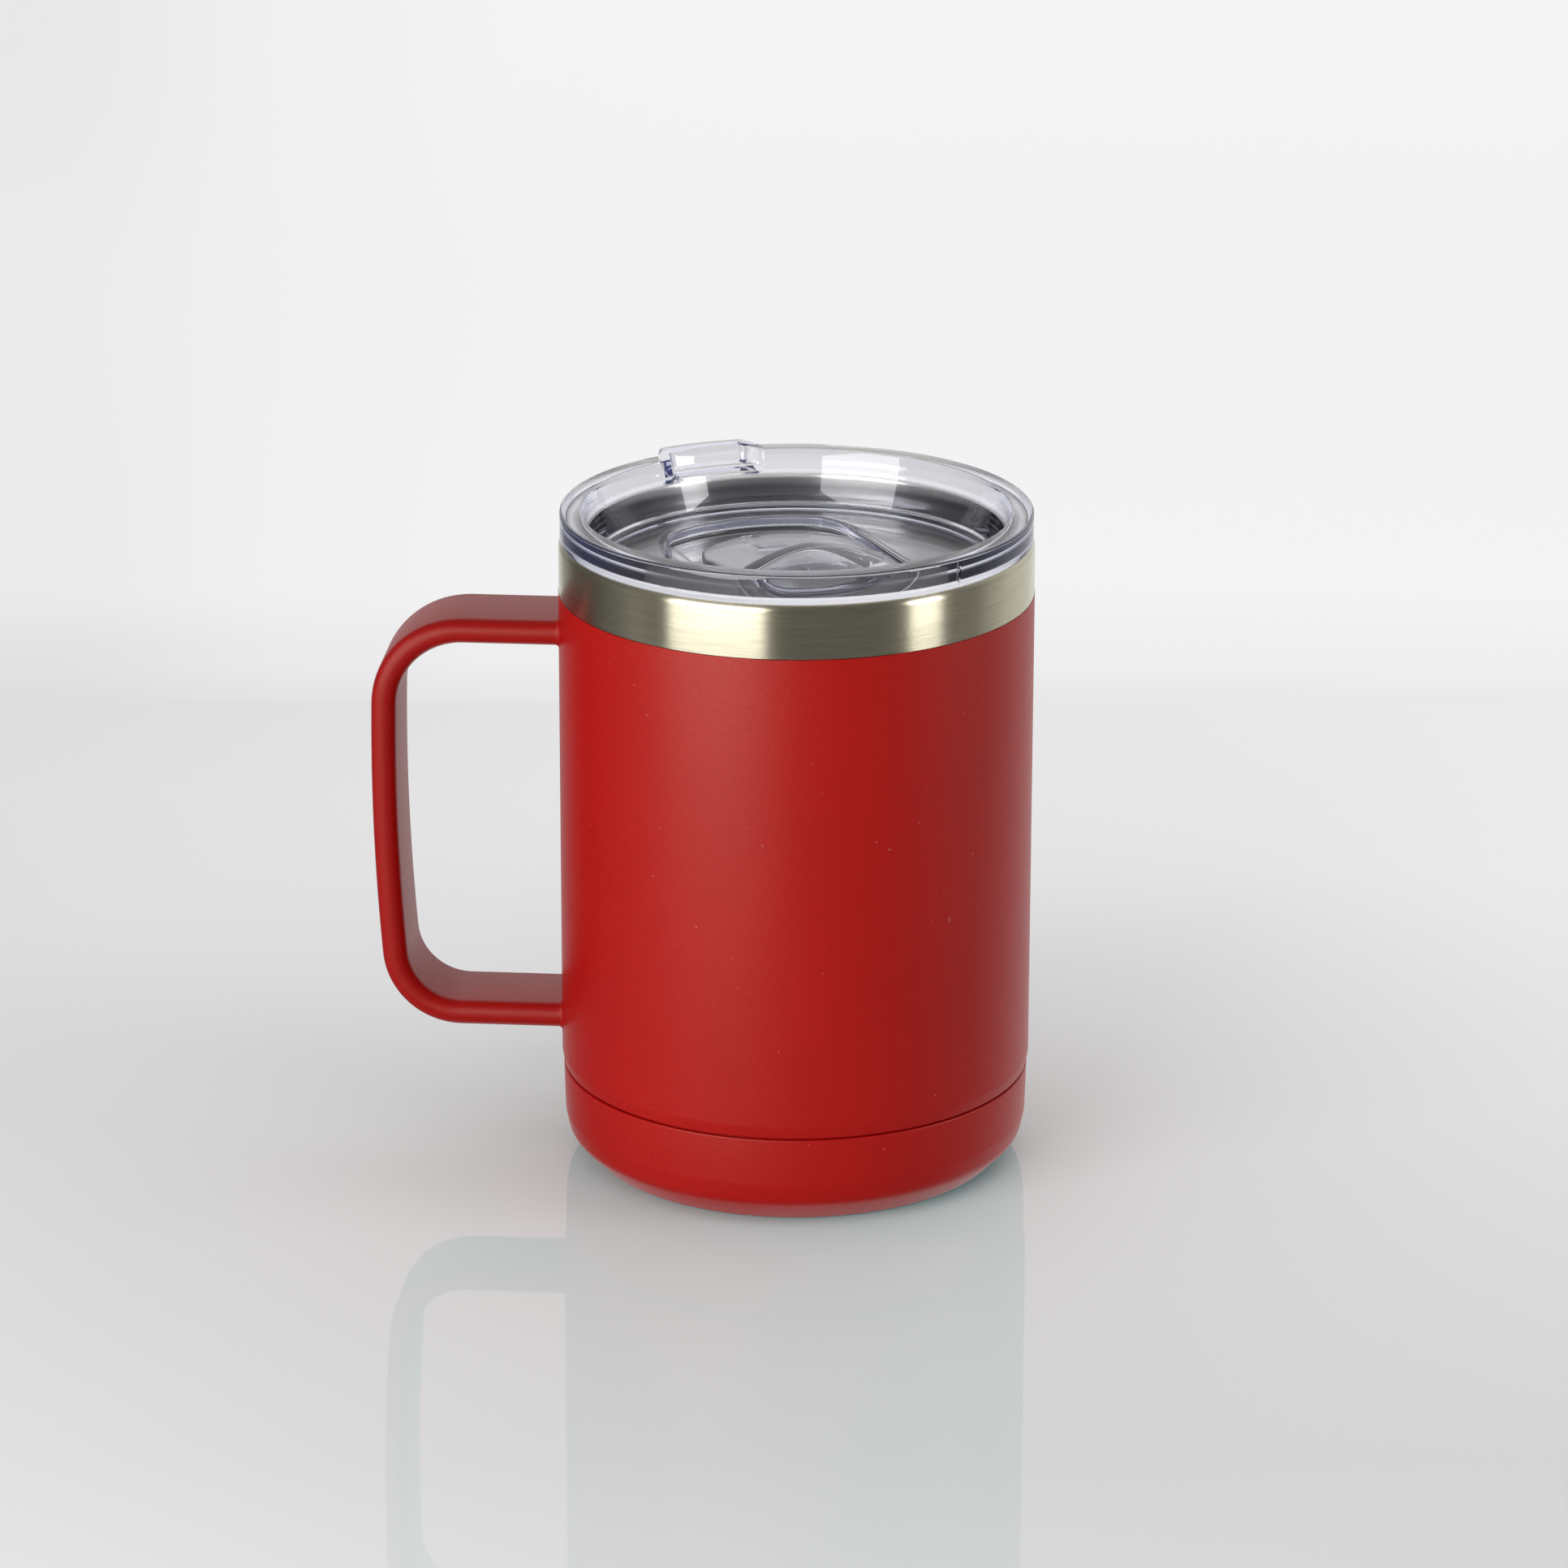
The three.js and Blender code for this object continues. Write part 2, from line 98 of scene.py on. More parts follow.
LID_TOP_Z = span("lid_body")[1].z
LID_LOW_Z = span("lid_body")[0].z
FLANGE_R = BODY_R - 0.3
FLANGE_Z = RIM_Z + 0.2
FLANGE_EDGE_Z = RIM_Z - 0.5  # the flange's edge reaches down over the rim's rolled corner
TAB_LOW_Z = FLANGE_Z + 0.35
PLUG_R = MOUTH_R - 0.7
PLUG_Z = RIM_Z - 9.4
FLOOR_Z = RIM_Z - 5.1
LID_WALL = 2
FLOOR_UNDER_Z = FLOOR_Z - LID_WALL
FLOOR_R = 33.2  # the flat floor, inside the fillets of the recess and the plug
PLUG_INNER_R = 35.5
RECESS_R = FLANGE_R - 3.9
SEAL_LOW, SEAL_HIGH = span("lid_gasket")
GROOVE_R = PLUG_R - 1.5
GROOVE_LOW, GROOVE_HIGH = SEAL_LOW.z - 0.15, SEAL_HIGH.z + 0.15

SLIDE_JOINT = next(joint for joint in frame["joints"] if joint["name"] == "slider_slide")
TRACK = math.atan2(SLIDE_JOINT["axis"][1], SLIDE_JOINT["axis"][0])
TRAVEL = SLIDE_JOINT["range_m"][1] / MM
TAB_REACH = 4.3
TAB_FLAT, TAB_END = math.radians(9.2), math.radians(14.2)
GATE_MARK = math.radians(-43.8)  # where the lid was fed in its mould

WELL_R, WELL_HALF, WELL_CORNER = 28.3, 17.2, 4
WELL_Z = LID_LOW_Z + 1.9
SLIDE_NOSE_R, SLIDE_TAIL_R, SLIDE_HALF = 27.9, 18, 16.5
SLIDE_LOW_Z = WELL_Z + 0.2
SLIDE_TOP_Z = FLOOR_Z + 0.2
GRIP_FACE, GRIP_R = -4, 15
HOLLOW_BACK, HOLLOW_R, HOLLOW_H = 1.8, 10.5, 3.4
GRIP_H = span("slider")[1].z - SLIDE_TOP_Z
HOLE_FROM, HOLE_TO, HOLE_HALF = -25.5, -17.5, 9.5  # the drinking hole, along and across the track
STEM_FROM, STEM_TO, STEM_HALF = -6, 2, 3
BARB = 0.7
CLIP_HALF = 7
CLIP_LOW, CLIP_HIGH = span("slider_clip")


# ------------------------------------------------------------------ outlines
def rounded(corners, step=math.radians(12)):
    """Points along (x, y, fillet radius) corners, with each inner corner turned into an arc."""
    points = []
    for i, (x, y, radius) in enumerate(corners):
        here = Vector((x, y))
        if radius == 0 or i in (0, len(corners) - 1):
            points.append(here)
            continue
        back = (Vector(corners[i - 1][:2]) - here).normalized()
        ahead = (Vector(corners[i + 1][:2]) - here).normalized()
        half = back.angle(ahead) / 2
        centre = here + (back + ahead).normalized() * radius / math.sin(half)
        reach = radius / math.tan(half)
        start, end = here + back * reach - centre, here + ahead * reach - centre
        turn = start.angle_signed(end)
        count = max(2, math.ceil(abs(turn) / step))
        for k in range(count + 1):
            a = math.atan2(start.y, start.x) - turn * k / count
            points.append(centre + Vector((math.cos(a), math.sin(a))) * radius)
    return [tuple(p) for p in points]


def arc(x, y, radius, start, end, step=4):
    """Points on an arc, in degrees, both ends included."""
    count = max(2, round(abs(end - start) / step))
    angles = [math.radians(start + (end - start) * k / count) for k in range(count + 1)]
    return [(x + radius * math.cos(a), y + radius * math.sin(a)) for a in angles]


def smoothstep(low, high, value):
    """0 below low, 1 above high, and an eased rise between."""
    t = min(1, max(0, (value - low) / (high - low)))
    return t * t * (3 - 2 * t)


# ------------------------------------------------------------------ meshes
def make_object(name, vertices, faces, material, sharp=CREASE):
    """A smooth-shaded object with one material."""
    mesh = bpy.data.meshes.new(name)
    mesh.from_pydata([Vector(v) * MM for v in vertices], [], faces)
    mesh.polygons.foreach_set("use_smooth", [True] * len(mesh.polygons))
    mesh.set_sharp_from_angle(angle=math.radians(sharp))
    mesh.materials.append(material)
    obj = bpy.data.objects.new(name, mesh)
    bpy.context.scene.collection.objects.link(obj)
    return obj


def loft(name, rings, material, closed=False):
    """A skin over rings of points. A ring of one point is a pole; closed joins the last ring to the first."""
    starts, vertices = [], []
    for ring in rings:
        starts.append(len(vertices))
        vertices += ring
    faces = []
    pairs = list(zip(range(len(rings) - 1), range(1, len(rings))))
    if closed:
        pairs.append((len(rings) - 1, 0))
    for i, j in pairs:
        a, b = starts[i], starts[j]
        n, m = len(rings[i]), len(rings[j])
        for k in range(max(n, m)):
            k2 = (k + 1) % max(n, m)
            if n == 1:
                faces.append((a, b + k2, b + k))
            elif m == 1:
                faces.append((a + k, a + k2, b))
            else:
                faces.append((a + k, a + k2, b + k2, b + k))
    return make_object(name, vertices, faces, material)


def capped(name, rings, material, sharp=CREASE):
    """A loft whose first and last rings are closed by flat faces."""
    n = len(rings[0])
    vertices = [p for ring in rings for p in ring]
    faces = [tuple(reversed(range(n)))]
    faces.append(tuple(range(len(vertices) - n, len(vertices))))
    for i in range(len(rings) - 1):
        for k in range(n):
            k2 = (k + 1) % n
            faces.append((i * n + k, i * n + k2, (i + 1) * n + k2, (i + 1) * n + k))
    return make_object(name, vertices, faces, material, sharp)


def revolve(name, profile, material, segments=192, closed=False, shift=None):
    """Turns (radius, z) points about Z. shift(angle, z) may move a point up or down."""
    rings = []
    for r, z in profile:
        if r == 0:
            rings.append([(0, 0, z)])
            continue
        ring = []
        for k in range(segments):
            a = math.tau * k / segments
            up = shift(a, z) if shift else 0
            ring.append((r * math.cos(a), r * math.sin(a), z + up))
        rings.append(ring)
    return loft(name, rings, material, closed)


def boolean(obj, tool, operation):
    """Joins or cuts obj with tool, which is used up."""
    modifier = obj.modifiers.new("boolean", "BOOLEAN")
    modifier.operation = operation
    modifier.solver = "EXACT"
    modifier.object = tool
    bpy.context.view_layer.update()
    mesh = bpy.data.meshes.new_from_object(obj.evaluated_get(bpy.context.evaluated_depsgraph_get()))
    obj.modifiers.clear()
    obj.data = mesh
    bpy.data.objects.remove(tool)
    return obj


def resharpen(obj):
    """Smooth shading and crisp edges again, after a boolean."""
    obj.data.polygons.foreach_set("use_smooth", [True] * len(obj.data.polygons))
    obj.data.set_sharp_from_angle(angle=math.radians(CREASE))
    return obj


def place(obj, body, slot, *nodes):
    """Puts a piece on its body, in place of CAD nodes."""
    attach(obj, body)
    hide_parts(*nodes)
    return obj


# ------------------------------------------------------------------ materials
class Tree:
    """A node tree, with short calls to add and join nodes."""

    def __init__(self, tree):
        self.tree = tree

    def add(self, kind, inputs=None, **settings):
        """Adds a node and sets or joins its inputs."""
        node = self.tree.nodes.new(kind)
        for key, value in settings.items():
            setattr(node, key, value)
        for key, value in (inputs or {}).items():
            self.set(node, key, value)
        return node

    def set(self, node, key, value):
        """Joins a socket to a node's input, or gives the input a plain value."""
        if isinstance(value, bpy.types.NodeSocket):
            self.tree.links.new(value, node.inputs[key])
        else:
            node.inputs[key].default_value = value

    def remap(self, value, low, high, to_low, to_high):
        """value stretched from low..high to to_low..to_high, and held at its ends."""
        inputs = {"Value": value, "From Min": low, "From Max": high, "To Min": to_low, "To Max": to_high}
        return self.add("ShaderNodeMapRange", inputs, clamp=True).outputs["Result"]

    def mix(self, factor, a, b):
        """A colour between a and b. The mix node's colour sockets have indices of their own."""
        factor_in, a_in, b_in, color_out = 0, 6, 7, 2
        inputs = {factor_in: factor, a_in: a, b_in: b}
        return self.add("ShaderNodeMix", inputs, data_type="RGBA").outputs[color_out]

    def plain(self, color):
        """A socket that gives one colour."""
        return self.add("ShaderNodeCombineColor", dict(enumerate(color))).outputs[0]

    def along(self, vector, axis):
        """The part of vector that points along axis."""
        node = self.add("ShaderNodeVectorMath", {0: vector, 1: axis}, operation="DOT_PRODUCT")
        return node.outputs["Value"]

    def math(self, operation, a, b):
        """One step of arithmetic. An operation on a alone ignores b."""
        return self.add("ShaderNodeMath", {0: a, 1: b}, operation=operation).outputs[0]

    def seen_directly(self):
        """1 where the camera looks straight or through something clear, 0 for a mirrored view."""
        path = self.add("ShaderNodeLightPath").outputs
        return self.math("MAXIMUM", path["Is Camera Ray"], path["Is Transmission Ray"])

    def gray(self, value, *stops):
        """A gray tone, eased between (value, tone) stops."""
        low, high = stops[0][0], stops[-1][0]
        scaled = self.math("DIVIDE", self.math("SUBTRACT", value, low), high - low)
        ramp = self.add("ShaderNodeValToRGB", {0: scaled})
        ramp.color_ramp.interpolation = "EASE"
        elements = ramp.color_ramp.elements
        while len(elements) < len(stops):
            elements.new(0.5)
        for element, (stop, tone) in zip(elements, stops):
            element.position = (stop - low) / (high - low)
            element.color = (tone, tone, tone, 1)
        return ramp.outputs[0]


class Nodes(Tree):
    """A material's node tree."""

    def __init__(self, name):
        self.material = bpy.data.materials.new(name)
        self.material.use_nodes = True
        super().__init__(self.material.node_tree)
        self.bsdf = self.tree.nodes["Principled BSDF"]
        self.output = self.tree.nodes["Material Output"]

    def shade(self, **inputs):
        """Sets inputs of the Principled shader, named with _ for a space."""
        for key, value in inputs.items():
            self.set(self.bsdf, key.replace("_", " "), value)

    def where(self, scale=(1, 1, 1)):
        """Object coordinates in metres, stretched by scale."""
        coordinates = self.add("ShaderNodeTexCoord").outputs["Object"]
        return self.add("ShaderNodeMapping", {"Vector": coordinates, "Scale": scale}).outputs[0]

    def noise(self, scale, detail=2, stretch=(1, 1, 1), roughness=0.5):
        """Noise of about scale lumps to the metre, mostly between 0.3 and 0.7."""
        inputs = {"Vector": self.where(stretch), "Scale": scale, "Detail": detail, "Roughness": roughness}
        return self.add("ShaderNodeTexNoise", inputs).outputs["Fac"]

    def bump(self, height, strength, distance, normal=None):
        """A bumped normal. distance is how high a height of 1 stands, in millimetres."""
        inputs = {"Height": height, "Strength": strength, "Distance": distance * MM}
        if normal is not None:
            inputs["Normal"] = normal
        return self.add("ShaderNodeBump", inputs).outputs["Normal"]


def powder_coat():
    """Satin red coat: fine sandy grain over a slight orange peel, with a few pale specks of dust."""
    n = Nodes("powder_coat")
    cloud, dust = n.noise(35, 3), n.noise(950, 1)
    grain, peel = n.noise(2600), n.noise(900)
    deep_red, light_red = (0.385, 0.0014, 0.0008, 1), (0.41, 0.0018, 0.0010, 1)
    speck = (0.75, 0.45, 0.4, 1)
    red = n.mix(n.remap(cloud, 0.3, 0.7, 0, 1), deep_red, light_red)
    n.shade(Base_Color=n.mix(n.remap(dust, 0.79, 0.83, 0, 0.22), red, speck))
    n.shade(Roughness=n.remap(grain, 0.3, 0.7, 0.36, 0.44))
    n.shade(Specular_IOR_Level=0.41, Specular_Tint=(1, 0.95, 0.82, 1))
    coarse = n.bump(peel, 0.35, 0.05)
    n.shade(Normal=n.bump(grain, 0.6, 0.03, coarse))
    return n.material


def brushed_steel(name, roughness, *tones):
    """Steel brushed round the axis in fine rings. tones are (height, colour) stops, from the bottom up."""
    n = Nodes(name)
    height = n.along(n.where(), (0, 0, 1))
    color = n.plain(tones[0][1])
    for (low, _), (high, upper) in zip(tones, tones[1:]):
        color = n.mix(n.remap(height, low * MM, high * MM, 0, 1), color, n.plain(upper))
    across_grain, along_grain = 2600, 110
    rings = n.noise(1, 4, (along_grain, along_grain, across_grain), 0.65)
    streak = n.remap(rings, 0.3, 0.7, 0.86, 1.06)
    streaked = n.add("ShaderNodeVectorMath", {0: color, "Scale": streak}, operation="SCALE").outputs[0]
    n.shade(Base_Color=streaked, Metallic=1.0, Roughness=roughness)
    n.shade(Anisotropic=0.9, Anisotropic_Rotation=0.25)
    n.shade(Tangent=n.add("ShaderNodeTangent", direction_type="RADIAL", axis="Z").outputs[0])
    n.shade(Normal=n.bump(rings, 0.2, 0.006))
    return n.material


def plain_metal(name, color, roughness):
    """Cloudy dull metal, for the pieces inside the vacuum space."""
    n = Nodes(name)
    cloud = n.noise(300, 3)
    dark = tuple(c * 0.8 for c in color) + (1,)
    n.shade(Base_Color=n.mix(cloud, dark, color + (1,)), Metallic=1.0)
    n.shade(Roughness=n.remap(cloud, 0.3, 0.7, roughness * 0.8, roughness * 1.2))
    return n.material


def rim_glow(n):
    """1 on the lid's outermost wall where it turns away from the viewer, 0 elsewhere."""
    x, y, _ = n.add("ShaderNodeSeparateXYZ", {"Vector": n.where()}).outputs
    square = n.math("ADD", n.math("MULTIPLY", x, x), n.math("MULTIPLY", y, y))
    radius = n.math("SQRT", square, 0.0)
    rim = n.remap(radius, (FLANGE_R - 0.6) * MM, (FLANGE_R - 0.1) * MM, 0, 1)
    slant = n.add("ShaderNodeLayerWeight", {"Blend": 0.5}).outputs["Facing"]
    return n.math("MULTIPLY", rim, n.remap(slant, 0.12, 0.55, 0, 1))


def clear_plastic(name, haze_and_sheen):
    """Clear moulded plastic, violet in its depth and on its outermost wall.

    The second argument is its share of white veil: slight haze, and where it is larger, as on the slider,
    painted sheen as well.
    """
    n = Nodes(name)
    blur = n.remap(n.noise(1800), 0.35, 0.75, 0.0, 0.03)
    n.shade(Base_Color=(0.99, 0.99, 0.995, 1), Roughness=blur, IOR=1.54, Transmission_Weight=1.0)
    n.shade(Normal=n.bump(n.noise(90), 0.05, 0.08))
    glow = rim_glow(n)
    white, violet = (0.6, 0.6, 0.6, 1), (0.34, 0.36, 0.95, 1)
    veil = n.add("ShaderNodeBsdfDiffuse", {"Color": n.mix(glow, white, violet)})
    share = n.remap(glow, 0, 1, haze_and_sheen, 0.052)
    body = n.add("ShaderNodeMixShader", {0: share, 1: n.bsdf.outputs[0], 2: veil.outputs[0]})
    shadow_tint = n.add("ShaderNodeBsdfTransparent", {"Color": (0.9, 0.9, 0.94, 1)})
    shadow = n.add("ShaderNodeLightPath").outputs["Is Shadow Ray"]
    surface = n.add("ShaderNodeMixShader", {0: shadow, 1: body.outputs[0], 2: shadow_tint.outputs[0]})
    n.set(n.output, "Surface", surface.outputs[0])
    depth = n.add("ShaderNodeVolumeAbsorption", {"Color": (0.51, 0.52, 0.77, 1), "Density": 34.0})
    n.set(n.output, "Volume", depth.outputs[0])
    return n.material


def silicone():
    """Milky translucent rubber."""
    n = Nodes("silicone")
    cloud = n.noise(500, 2)
    n.shade(Base_Color=(0.86, 0.87, 0.9, 1), Transmission_Weight=0.75, IOR=1.41)
    n.shade(Roughness=n.remap(cloud, 0.3, 0.7, 0.3, 0.42))
    return n.material


COAT = powder_coat()
BAND_STEEL = brushed_steel("band_steel", 0.25, (0, (0.60, 0.56, 0.42)))
LINER_STEEL = brushed_steel(  # painted shade where the lid's plug and floor cover the wall, painted highlight on the rim's lip
    "liner_steel",
    0.28,
    (RIM_Z - 14, (0.68, 0.67, 0.64)),
    # painted shade: the wall darkened where the lid keeps light out
    (RIM_Z - 9, (0.27, 0.265, 0.26)),
    (RIM_Z - 2.8, (0.27, 0.265, 0.26)),
    # painted highlight: the rim's lip made bright
    (RIM_Z - 0.8, (0.85, 0.83, 0.78)),
)
CLEAR = clear_plastic("clear_plastic", 0.006)
# the slider's copy of the clear plastic gets more white veil: painted sheen for the light its stacked clear
# surfaces reflect
SLIDER_CLEAR_PAINTED_SHEEN = clear_plastic("slider_plastic", 0.08)
SILICONE = silicone()


# ------------------------------------------------------------------ mug body
def ragged_edge(angle, z):
    """The masked edge of the coat wavers by a few hundredths of a millimetre."""
    if z < PAINT_Z - 0.5:
        return 0
    height = 0.014
    waves = ((17, 0.3), (41, 1.1), (67, 2.6), (89, 0.7))  # waves in a turn, and phase
    return sum(height * math.sin(angle * count + phase) for count, phase in waves)


def painted_shell():
    """The coated wall, from the neck inside the base cup up to the paint line."""
    inner = BODY_R - SHEET
    profile = rounded(
        [
            (NECK_R - SHEET, NECK_Z, 0),
            (NECK_R, NECK_Z, 0.1),
            (NECK_R, SEAM_Z, 0.1),
            (BODY_R - 0.42, SEAM_Z, 0.28),
            (BODY_R, SEAM_Z + 2.2, 3),
            (BODY_R, PAINT_Z, 0.05),
            (inner, PAINT_Z, 0.05),
            (inner, SEAM_Z + 1.2, 0.3),
            (NECK_R - SHEET, SEAM_Z + 0.6, 0.2),
            (NECK_R - SHEET, NECK_Z + 0.1, 0),
        ]
    )
    shell = revolve("shell_painted", profile, COAT, 240, closed=True, shift=ragged_edge)
    return place(shell, "mug", "powder_coat", "outer_shell")


def steel_band():
    """The bare wall above the paint line, rolled in at the rim."""
    profile = rounded(
        [
            (BAND_R - SHEET, PAINT_Z + 0.1, 0),
            (BAND_R, PAINT_Z + 0.1, 0),
            (BAND_R, RIM_Z, 1.9),
            (WELD_R, RIM_Z, 0),
            (WELD_R, RIM_Z - SHEET, 0),
            (BAND_R - SHEET, RIM_Z - SHEET, 1.4),
            (BAND_R - SHEET, PAINT_Z + 0.2, 0),
        ],
        math.radians(8),
    )
    band = revolve("shell_band", profile, BAND_STEEL, 240, closed=True)
    return place(band, "mug", "steel", "outer_shell")


def liner():
    """The steel cup, with a wider mouth for the lid's plug."""
    weld = WELD_R - 0.05
    profile = rounded(
        [
            (0, CUP_BOTTOM_Z, 0),
            (CUP_R + SHEET, CUP_BOTTOM_Z, 3.2),
            (CUP_R + SHEET, MOUTH_END_Z - 3, 3),
            (MOUTH_R + SHEET, MOUTH_END_Z, 3),
            (MOUTH_R + SHEET, RIM_Z - SHEET, 0.7),
            (weld, RIM_Z - SHEET, 0),
            (weld, RIM_Z, 0),
            (MOUTH_R, RIM_Z, 1.25),
            (MOUTH_R, MOUTH_END_Z, 3),
            (CUP_R, MOUTH_END_Z - 3, 3),
            (CUP_R, CUP_BOTTOM_Z + SHEET, 2.6),
            (0, CUP_BOTTOM_Z + SHEET, 0),
        ],
        math.radians(9),
    )
    return place(revolve("liner", profile, LINER_STEEL), "mug", "steel", "inner_liner")


def base_cup():
    """The coated cover under the seam, with a bevelled foot."""
    profile = rounded(
        [
            (0, 0, 0),
            (FOOT_R, 0, 0.5),
            (BEVEL_R, BEVEL_Z, 4),
            (WAIST_R, WAIST_Z, 3),
            (BASE_R, LIP_Z, 0.28),
            (NECK_R + 0.15, LIP_Z, 0.1),
            (NECK_R + 0.15, WAIST_Z - 0.5, 2),
            (BEVEL_R - 0.75, BEVEL_Z + 0.25, 1),
            (FOOT_R - 0.1, SHEET, 0.6),
            (0, SHEET, 0),
        ]
    )
    return place(revolve("base", profile, COAT, 240), "mug", "powder_coat", "base_cup")


# ------------------------------------------------------------------ handle
def bend(radius, z):
    """Centre x of a bend at height z that meets the bowed upright smoothly, and the angle where they meet."""
    rise = z - HANDLE_REACH_Z
    x = HANDLE_BOW - HANDLE_REACH - math.sqrt((HANDLE_BOW - radius) ** 2 - rise**2)
    return x, 180 - math.degrees(math.asin(rise / (HANDLE_BOW - radius)))


def handle_path():
    """(x, z, direction of the outer side in degrees) along the bar's centre line, from top to bottom."""
    top_z = HANDLE_HIGH.z - BAR / 2
    bottom_z = HANDLE_LOW.z + BAR / 2
    upper_x, upper_end = bend(TOP_BEND, top_z - TOP_BEND)
    lower_x, lower_start = bend(BOTTOM_BEND, bottom_z + BOTTOM_BEND)
    arcs = (
        (upper_x, top_z - TOP_BEND, TOP_BEND, 90, upper_end, 24),
        (HANDLE_BOW - HANDLE_REACH, HANDLE_REACH_Z, HANDLE_BOW, upper_end, lower_start, 12),
        (lower_x, bottom_z + BOTTOM_BEND, BOTTOM_BEND, lower_start, 270, 24),
    )
    near_wall = (-0.6, 0, 0.12, 0.35, 0.7, 1.2, 4, 8, 12)
    path = [(-BODY_R - x, top_z, 90) for x in near_wall]
    for i, (x, z, radius, start, end, count) in enumerate(arcs):
        for k in range(min(i, 1), count + 1):
            a = start + (end - start) * k / count
            path.append((x + radius * math.cos(math.radians(a)), z + radius * math.sin(math.radians(a)), a))
    return path + [(-BODY_R - x, bottom_z, 270) for x in reversed(near_wall)]


def handle():
    """A flat bar with full-round sides. Its ends follow the shell, flared where coat pools on the weld."""
    half = HANDLE_HALF_WIDTH - BAR / 2
    curved, straight = 1.2, 9  # between these distances from the shell the bar's curve fades
    most_flare = 1.4
    section = arc(0, half, BAR / 2, 0, 180, 12) + arc(0, -half, BAR / 2, 180, 360, 12)
    rings = []
    for x, z, facing in handle_path():
        out = Vector((math.cos(math.radians(facing)), 0, math.sin(math.radians(facing))))
        gap = -x - BODY_R
        grow = 0
        if gap < COAT_FLARE:
            grow = COAT_FLARE * (1 - math.sqrt(1 - (1 - max(gap, 0) / COAT_FLARE) ** 2))
        ring = []
        for across, along in section:
            scale = 1 + grow / math.hypot(across, max(0, abs(along) - half) + 1e-6)
            thick = across * min(scale, most_flare)
            wide = along + math.copysign(grow, along) * min(1, abs(along) / half)
            point = Vector((x, wide, z)) + out * thick
            if gap < straight:
                sag = BODY_R - math.sqrt(BODY_R**2 - wide**2)
                point.x += sag * (1 - smoothstep(curved, straight, gap))
            ring.append(tuple(point))
        rings.append(ring)
    return place(capped("handle_bar", rings, COAT, 50), "mug", "powder_coat", "handle")


# ------------------------------------------------------------------ lid
def tab_share(angle):
    """1 over the pry tab, 0 away from it."""
    turn = math.remainder(angle - TRACK, math.tau)
    return 1 - smoothstep(TAB_FLAT, TAB_END, abs(turn))


def band_distance(x, y, radius, half, corner):
    """Distance outside a band across the lid that has ends round the axis and round corners."""
    a, b = math.hypot(x, y) - radius, abs(y) - half
    outside = math.hypot(max(a + corner, 0), max(b + corner, 0))
    return min(-corner, max(a, b)) + outside


def well_distance(x, y):
    """Distance outside the well that the slider runs in."""
    return band_distance(x, y, WELL_R, WELL_HALF, WELL_CORNER)


def slider_distance(x, y):
    """The slider's outline: ends round the lid's axis, straight sides, and a click notch in each side."""
    end = SLIDE_TAIL_R if x > 0 else SLIDE_NOSE_R
    plate = band_distance(x, y, end, SLIDE_HALF, WELL_CORNER)
    notch_x, notch_reach, notch_depth = 2.5, 2.6, 1.2
    notch = math.hypot((x - notch_x) / notch_reach, (abs(y) - SLIDE_HALF) / notch_depth) - 1
    return max(plate, -notch * notch_depth)


def reach(distance, angle, offset):
    """How far from the axis, in the direction of angle, distance() equals offset."""
    low, high = 0.0, 60.0  # every outline lies well inside 60
    halvings = 34
    for _ in range(halvings):
        middle = (low + high) / 2
        if distance(middle * math.cos(angle), middle * math.sin(angle)) < offset:
            low = middle
        else:
            high = middle
    return high


def outline_ring(distance, angles, offset, z):
    """A ring at a set distance outside an outline drawn in the slider track's own frame."""
    ring = []
    for a in angles:
        r = reach(distance, a - TRACK, offset)
        ring.append((r * math.cos(a), r * math.sin(a), z))
    return ring


def lid_angles():
    """Directions round the lid: even, with more where the gate mark is."""
    even = [math.radians(0.75 * k) - math.pi for k in range(480)]
    extra = [GATE_MARK + math.radians(0.16 * k) for k in range(-6, 7)]
    return sorted(even + extra)


def flange_ring(r, z, angles):
    """A ring of the lid's rim and plug, pushed out at the pry tab and in at the gate mark."""
    outer_wall = r > FLANGE_R - 1.2 and z > TAB_LOW_Z - 0.1
    tab = 1 if outer_wall else 0
    if z > TAB_LOW_Z and not outer_wall:  # the top and the recess follow the tab near the top only
        tab = smoothstep(LID_TOP_Z - 3.9, LID_TOP_Z - 2.9, z)
    mark_depth = 0.3 if outer_wall and z < LID_TOP_Z - 0.9 else 0
    ring = []
    for a in angles:
        from_mark = abs(math.remainder(a - GATE_MARK, math.tau) * FLANGE_R)
        mark = mark_depth * (1 - smoothstep(0.15, 0.45, from_mark))
        push = TAB_REACH * tab_share(a) * tab - mark
        ring.append(((r + push) * math.cos(a), (r + push) * math.sin(a), z))
    return ring


def recess_wall(z):
    """Radius of the recess's sloping wall."""
    return RECESS_R - 3.3 * (LID_TOP_Z - z) / (LID_TOP_Z - FLOOR_Z)


